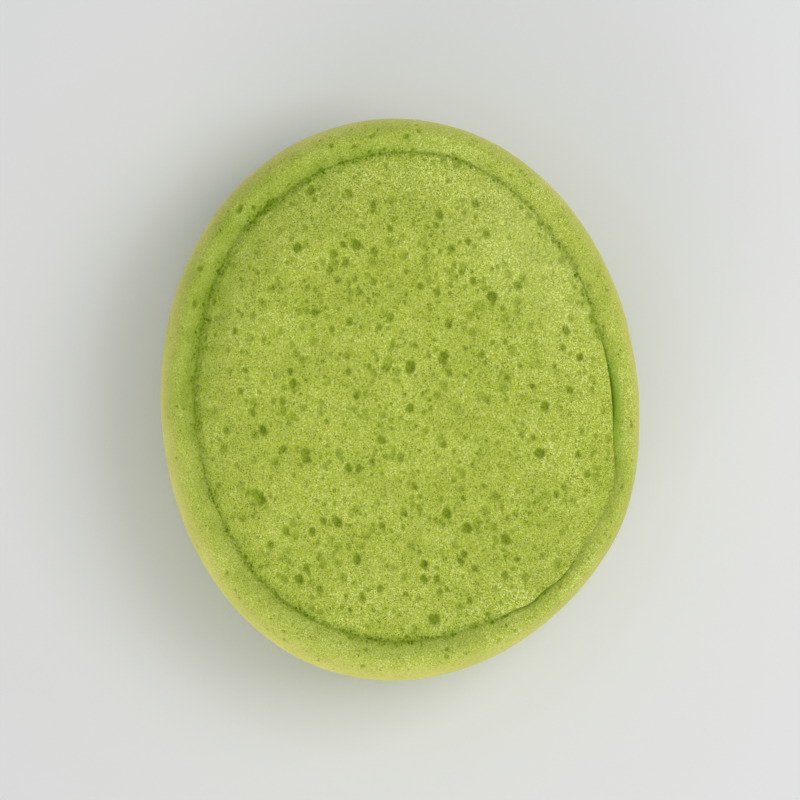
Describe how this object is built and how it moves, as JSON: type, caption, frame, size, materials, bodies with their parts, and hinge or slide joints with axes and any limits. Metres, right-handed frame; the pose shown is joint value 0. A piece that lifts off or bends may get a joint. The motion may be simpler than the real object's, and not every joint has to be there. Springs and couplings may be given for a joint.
{
  "type": "bath sponge",
  "caption": "Oval laminated foam bath sponge: a wrapped foam cover with a rolled rim around a pored face pad, over a filling core.",
  "frame": {"origin": "middle of the flat back, on the surface that the sponge lies on", "axes": "+Z out of the pored face, +Y along the long axis towards the narrower head end, +X to the right as seen from the face"},
  "size_m": [0.1106, 0.13, 0.04],
  "materials": {
    "cover_foam": "fine open-cell foam, matt, light green",
    "face_foam": "open-cell foam with round pores, matt, light green",
    "core_foam": "soft cream filling foam, matt, hidden inside",
    "glue": "thin set foam adhesive, hidden inside"
  },
  "bodies": {
    "root": {"outer_cover": "cover_foam", "inner_core": "core_foam", "face_pad": "face_foam", "face_glue_film": "glue", "lip_glue_ring": "glue", "floor_glue_film": "glue"}
  },
  "joints": []
}
